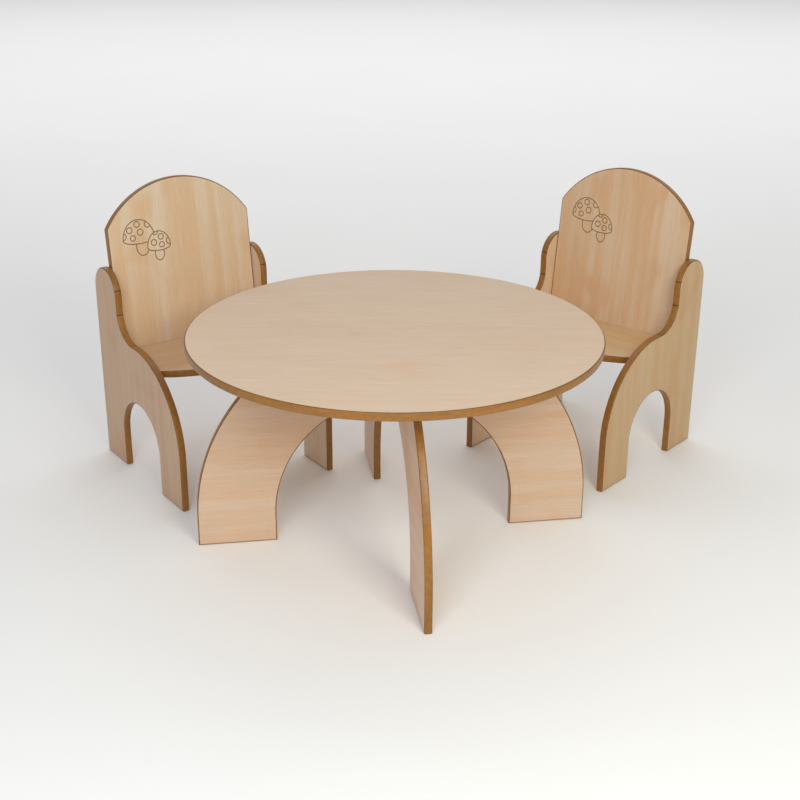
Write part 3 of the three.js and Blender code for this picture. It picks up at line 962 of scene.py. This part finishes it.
def back_frame():
    """The back's own frame in the chair: x to the left, y up the lean, z out of its front.

    The origin is half a board behind where the back's front meets the seat's upper face.
    """
    foot = Vector((BACK_FOOT_X, 0, SEAT_HEIGHT)) - OUT_OF_THE_BACK * BOARD / 2
    return frame_of(foot, TO_THE_LEFT, UP_THE_LEAN, OUT_OF_THE_BACK)


def connectors():
    """Each cam with its bolt: their name, board, side panel, and frame in the chair.

    The frame's origin is on the side panel's inner face, level with the drilled face of the board.
    y points out to the side panel and z into the board.
    """
    rear_foot = Vector((BACK_FOOT_X, 0, SEAT_HEIGHT)) - OUT_OF_THE_BACK * BOARD
    rows = []
    for side, sign in SIDES.items():
        outward = TO_THE_LEFT * sign
        inner = outward * CHAIR_INNER_HALF
        for station, along in SEAT_BOLTS.items():
            origin = inner + Vector((along, 0, SEAT_HEIGHT - BOARD))
            axes = (outward.cross(UP), outward, UP)
            rows.append((f"seat_{side}_{station}", "seat", side, frame_of(origin, *axes)))
        for station, along in BACK_BOLTS.items():
            origin = inner + rear_foot + UP_THE_LEAN * along
            axes = (outward.cross(OUT_OF_THE_BACK), outward, OUT_OF_THE_BACK)
            rows.append((f"back_{side}_{station}", "back", side, frame_of(origin, *axes)))
    return rows


def connector_holes(at, wanted):
    """The drilled holes that one board or side panel needs for its connectors."""
    out, into = (0, 1, 0), (0, 0, 1)
    holes = []
    for _, board, side, frame_in_chair in connectors():
        here = at @ frame_in_chair
        cam = (0, -CAM_SETBACK, -OVERSHOOT)
        bore = (0, -CAM_SETBACK, BOARD / 2)
        face = (0, -OVERSHOOT, BOARD / 2)
        if wanted == board:
            depth = CAM_HOLE_DEPTH + OVERSHOOT
            holes.append(drill(here, CAM_HOLE_RADIUS, cam, into, depth, CAM_SEGMENTS))
            holes.append(drill(here, BOLT_HOLE_RADIUS, bore, out, CAM_SETBACK + OVERSHOOT))
        elif wanted == side:
            depth = THREAD_HOLE_DEPTH + OVERSHOOT
            holes.append(drill(here, THREAD_HOLE_RADIUS, face, out, depth))
    return holes


def side_panel_outline():
    """A round-topped arm that sweeps down in an S to the front leg, over an arch.

    The cutter has left burnt notches near both ends of the arm's straight front and where the waist ends.
    """
    thigh = (CHAIR_DEPTH - THIGH_RADIUS, WAIST_CENTRE_HEIGHT - WAIST_RADIUS - THIGH_RADIUS)
    waist = (2 * ARM_RADIUS + WAIST_RADIUS, WAIST_CENTRE_HEIGHT)
    arch = (ARCH_CENTRE_X, ARCH_CENTRE_HEIGHT)
    shape = outline(
        ([Vector((0, 0)), Vector((ARCH_CENTRE_X - ARCH_RADIUS, 0))], True),
        (arc(arch, ARCH_RADIUS, math.pi, 0), True),
        ([Vector((ARCH_CENTRE_X + ARCH_RADIUS, 0)), Vector((CHAIR_DEPTH, 0))], True),
        (arc(thigh, THIGH_RADIUS, 0, RIGHT_ANGLE), True),
        (arc(waist, WAIST_RADIUS, 3 * RIGHT_ANGLE, math.pi), True),
        (arc((ARM_RADIUS, ARM_CENTRE_HEIGHT), ARM_RADIUS, 0, math.pi), True),
    )
    marks = [Vector((2 * ARM_RADIUS, height)) for height in MARK_HEIGHTS]
    marks.append(Vector((waist[0], WAIST_CENTRE_HEIGHT - WAIST_RADIUS)))
    return scored(shape, marks)


def make_side_panel(chair, side, at, seed):
    node = f"{chair}_{side}_side_panel"
    shape, burns = side_panel_outline()
    middle = SIDES[side] * (CHAIR_INNER_HALF + BOARD / 2)
    panel = make_board(node, shape, at @ upright(middle), along_y=True, seed=seed, burns=burns)
    carve(panel, connector_holes(at, side))
    finish_piece(panel, node, FACE)


def make_seat(chair, at, seed):
    """A board with square edges at its rear and sides, and a bowed, rounded-over front.

    Its rear edge slopes to meet the leaning back.
    """
    node = f"{chair}_seat"
    radius = (CROSSBOARD_HALF**2 + SEAT_BOW**2) / (2 * SEAT_BOW)
    sweep = math.asin(CROSSBOARD_HALF / radius)
    front = arc((SEAT_SIDE_DEPTH + SEAT_BOW - radius, 0), radius, -sweep, sweep)
    rear = BACK_FOOT_X + BOARD / 2 * math.tan(BACK_LEAN) + GAP
    shape = outline(
        ([Vector((rear, CROSSBOARD_HALF)), Vector((rear, -CROSSBOARD_HALF))], False),
        (front[:-1], True),
        (front[-1:], False),
    )
    level = SEAT_HEIGHT - BOARD / 2
    seat = make_board(node, shape, at @ Matrix.Translation((0, 0, level)), along_y=True, seed=seed)
    for vert in seat.data.vertices:
        if vert.co.x < rear + OVERSHOOT:
            vert.co.x -= vert.co.z * math.tan(BACK_LEAN)
    carve(seat, connector_holes(at, "seat"))
    finish_piece(seat, node, FACE)


def back_outline():
    """Straight sides up to the corners, and one wide arc over the top."""
    drop = BOARD / math.cos(BACK_LEAN)
    corner = (BACK_CORNER_HEIGHT - SEAT_HEIGHT) / math.cos(BACK_LEAN)
    top = (BACK_TOP_HEIGHT - SEAT_HEIGHT) / math.cos(BACK_LEAN)
    rise = top - corner
    radius = (CROSSBOARD_HALF**2 + rise**2) / (2 * rise)
    sweep = math.asin(CROSSBOARD_HALF / radius)
    return outline(
        ([Vector((-CROSSBOARD_HALF, -drop))], False),
        ([Vector((CROSSBOARD_HALF, -drop))], True),
        (arc((0, top - radius), radius, RIGHT_ANGLE - sweep, RIGHT_ANGLE + sweep), True),
    )


def make_back(chair, at, seed):
    node = f"{chair}_back"
    leaning = at @ back_frame()
    back = make_board(node, back_outline(), leaning, along_y=True, seed=seed)
    strokes = [(groove(path, closed, leaning), GROOVE) for path, closed in motif()]
    carve(back, connector_holes(at, "back") + strokes)
    finish_piece(back, node, FACE)


# ---- engraving

def oval(middle, half_width, half_height, start, end):
    """Points along part of an ellipse, both ends included, about a groove step apart."""
    size = max(half_width, half_height)
    steps = max(FEWEST_OVAL_STEPS, math.ceil((end - start) * size / GROOVE_STEP))
    angles = [start + (end - start) * i / steps for i in range(steps + 1)]
    return [middle + Vector((half_width * math.cos(a), half_height * math.sin(a))) for a in angles]


def inside(point, ring):
    """Whether a point is in a closed ring of points."""
    crossings = 0
    for a, b in zip(ring, ring[1:] + ring[:1]):
        if (a.y > point.y) != (b.y > point.y):
            crossings += point.x < a.x + (point.y - a.y) * (b.x - a.x) / (b.y - a.y)
    return crossings % 2 == 1


def kept(path, closed, keep):
    """The stretches of a path whose points are kept, as (path, closed), but no very short ones."""
    wanted = [keep(point) for point in path]
    if all(wanted):
        return [(path, closed)]
    if closed:
        first = wanted.index(False)
        path, wanted = path[first:] + path[:first], wanted[first:] + wanted[:first]
    stretches, current = [], []
    for point, good in zip(path + [None], wanted + [False]):
        if good:
            current.append(point)
        elif current:
            stretches.append((current, False))
            current = []
    return [s for s in stretches if len(s[0]) >= FEWEST_STROKE_POINTS]


def toadstool(build, spots):
    """A spotted cap on a stout stem: its strokes, and the rings of cap and stem."""
    place, half_width, rise, aside = build
    middle = MOTIF_PLACE + place
    cap = oval(middle, half_width, rise, 0, math.pi)[:-1]
    cap += oval(middle, half_width, rise * UNDERSIDE, math.pi, TURN)[:-1]
    foot = middle + Vector((aside, -rise * STEM_DROP))
    stem = oval(foot, half_width * STEM_HALF_WIDTH, rise * STEM_HALF_HEIGHT, 0, TURN)[:-1]
    strokes = [(cap, True)]
    strokes += kept(stem, True, lambda p: not inside(p, cap))
    for across, up, radius in spots:
        spot = middle + Vector((across * half_width, up * rise))
        ring = oval(spot, radius * rise, radius * rise, 0, TURN)[:-1]
        strokes += kept(ring, True, lambda p: inside(p, cap))
    return strokes, cap, stem


def motif():
    """Two toadstools, the small one in front of the large one."""
    large, _, _ = toadstool(LARGE_TOADSTOOL, LARGE_SPOTS)
    small, cap, stem = toadstool(SMALL_TOADSTOOL, SMALL_SPOTS)
    strokes = list(small)
    for path, closed in large:
        strokes += kept(path, closed, lambda p: not inside(p, cap) and not inside(p, stem))
    return strokes


def groove(path, closed, at):
    """A cutter for a round-bottomed groove along a path in a board's front face, with round ends."""
    half = GROOVE_WIDTH / 2
    angles = [math.pi * i / GROOVE_SIDES for i in range(GROOVE_SIDES + 1)]
    section = [(half * math.cos(a), -GROOVE_DEPTH * math.sin(a)) for a in angles]
    section += [(-half, OVERSHOOT), (half, OVERSHOOT)]
    stations = [(point, 1.0) for point in path]
    if not closed:
        start, end = (path[0] - path[1]).normalized(), (path[-1] - path[-2]).normalized()
        caps = [RIGHT_ANGLE * k / GROOVE_CAP_STEPS for k in range(1, GROOVE_CAP_STEPS)]
        first = [(path[0] + start * half * math.sin(a), math.cos(a)) for a in caps[::-1]]
        last = [(path[-1] + end * half * math.sin(a), math.cos(a)) for a in caps]
        stations = first + stations + last
    rings = []
    for i, (point, size) in enumerate(stations):
        before = stations[i - 1][0] if closed or i else point
        after = stations[(i + 1) % len(stations)][0] if closed or i + 1 < len(stations) else point
        along = (after - before).normalized()
        across = Vector((-along.y, along.x))
        ring = []
        for side, height in section:
            level = height * size if height < 0 else height
            ring.append((*(point + across * side * size), BOARD / 2 + level))
        rings.append(ring)
    cutter = swept("groove", rings, closed)
    cutter.matrix_world = at
    return cutter


# ---- connectors

def make_cam(node, at):
    """A zinc cam: chamfered, with a cross recess, a pointer, and a bore for the bolt."""
    rim = CAM_RADIUS - CAM_CHAMFER
    profile = [(0, 0), (rim, 0), (CAM_RADIUS, CAM_CHAMFER), (CAM_RADIUS, CAM_HEIGHT - CAM_CHAMFER)]
    profile += [(rim, CAM_HEIGHT), (0, CAM_HEIGHT)]
    cam = turned("visual_" + node, profile, METALS["zinc_cam"], CAM_SEGMENTS)
    cam.matrix_world = at
    bore, _ = drill(at, CAM_BORE_RADIUS, (0, 0, BOARD / 2 - GAP), (0, 1, 0), 2 * CAM_RADIUS)
    levels = (-OVERSHOOT, CAM_POINTER_DEPTH)
    arrow = swept("arrow", [[(*corner, level) for corner in CAM_POINTER] for level in levels])
    arrow.matrix_world = at
    carve(cam, cross_recess(at, 0, CAM_RECESS, -1) + [(bore, FACE), (arrow, FACE)])
    finish_piece(cam, node)


def make_bolt(node, at):
    """A connector bolt: thread, collar, shank, and a narrow neck behind the head that the cam grips."""
    face = BOLT_THREAD_LENGTH + GAP
    collar_radius, collar_length = BOLT_COLLAR
    neck_radius, neck_length = BOLT_NECK
    head_radius, head_length = BOLT_HEAD
    head = BOLT_LENGTH - head_length
    neck = head - neck_length
    profile = [(0, 0), (BOLT_THREAD_RADIUS * BOLT_TIP, GAP)]
    profile += thread(BOLT_THREAD_RADIUS, BOLT_PITCH, BOLT_PITCH, face)
    profile += [(BOLT_THREAD_RADIUS * THREAD_ROOT, face), (collar_radius, face)]
    profile += [(collar_radius, face + collar_length), (BOLT_SHANK_RADIUS, face + collar_length)]
    profile += [(BOLT_SHANK_RADIUS, neck), (neck_radius, neck), (neck_radius, head), (head_radius, head)]
    profile += [(head_radius, BOLT_LENGTH - BOLT_HEAD_CHAMFER)]
    profile += [(head_radius - BOLT_HEAD_CHAMFER, BOLT_LENGTH), (0, BOLT_LENGTH)]
    bolt = turned("visual_" + node, profile, METALS["steel_bolt"], BOLT_SEGMENTS)
    bolt.matrix_world = at
    finish_piece(bolt, node)


def make_chair(chair, seed):
    at = chair_frame(chair)
    for side, sign in SIDES.items():
        make_side_panel(chair, side, at, seed + sign)
    make_seat(chair, at, seed + SEAT_SEED_STEP)
    make_back(chair, at, seed + BACK_SEED_STEP)
    for name, _, _, frame_in_chair in connectors():
        here = at @ frame_in_chair
        make_cam(f"{chair}_{name}_cam", here @ Matrix.Translation((0, -CAM_SETBACK, GAP)))
        bolt_frame = pointing((0, BOLT_THREAD_LENGTH, BOARD / 2), (0, -1, 0))
        make_bolt(f"{chair}_{name}_bolt", here @ bolt_frame)


# ---- room

def make_camera():
    level = Vector((math.cos(CAMERA_YAW), -math.sin(CAMERA_YAW), 0))
    forward = Vector((math.sin(CAMERA_YAW), math.cos(CAMERA_YAW), 0))
    ahead = forward * math.cos(CAMERA_PITCH) - UP * math.sin(CAMERA_PITCH)
    over = level.cross(ahead)
    right = math.cos(CAMERA_ROLL) * level + math.sin(CAMERA_ROLL) * over
    up = math.cos(CAMERA_ROLL) * over - math.sin(CAMERA_ROLL) * level
    camera = add_object("camera", bpy.data.cameras.new("camera"))
    camera.data.lens = CAMERA_LENS
    camera.data.sensor_width = CAMERA_SENSOR
    camera.matrix_world = frame_of(CAMERA_PLACE, right, up, -ahead)
    bpy.context.scene.camera = camera


def make_floor():
    bm = bmesh.new()
    bmesh.ops.create_grid(bm, x_segments=FLOOR_SEGMENTS, y_segments=FLOOR_SEGMENTS, size=FLOOR_HALF_WIDTH)
    w = Wiring("floor")
    cloud = w.noise(w.place(), scale=1.5, flat=False)
    w.shade(Base_Color=w.mix(cloud, FLOOR_DULL, FLOOR_PALE), Roughness=0.7)
    as_object("floor", bm, w.material)


def make_soft_box(name, place, target, size, power, colour):
    """A soft box that faces its target and doesn't itself show."""
    data = bpy.data.lights.new(name, "AREA")
    data.shape = "RECTANGLE"
    data.size, data.size_y = size
    data.energy = power
    data.color = colour
    lamp = add_object(name, data)
    lamp.matrix_world = pointing(Vector(place), Vector(place) - Vector(target))
    lamp.visible_camera = False


def make_room():
    """A large pale floor, an even surround, two soft boxes by the camera, and a wide one behind."""
    bpy.context.scene.view_settings.view_transform = "Standard"
    world = bpy.data.worlds.new("room")
    bpy.context.scene.world = world
    world.use_nodes = True
    background = world.node_tree.nodes["Background"]
    background.inputs["Color"].default_value = (1, 1, 1, 1)
    background.inputs["Strength"].default_value = SURROUND
    make_floor()
    for name, row in LIGHTS.items():
        make_soft_box(name, *row)


make_camera()
make_room()
make_table_top()
for row in ARCH_PANELS:
    make_arch_panel(*row)
for quarter, arm in enumerate(ARMS):
    make_bracket(quarter, arm)
    make_screws(quarter, arm)
for chair, seed in CHAIRS.items():
    make_chair(chair, seed)
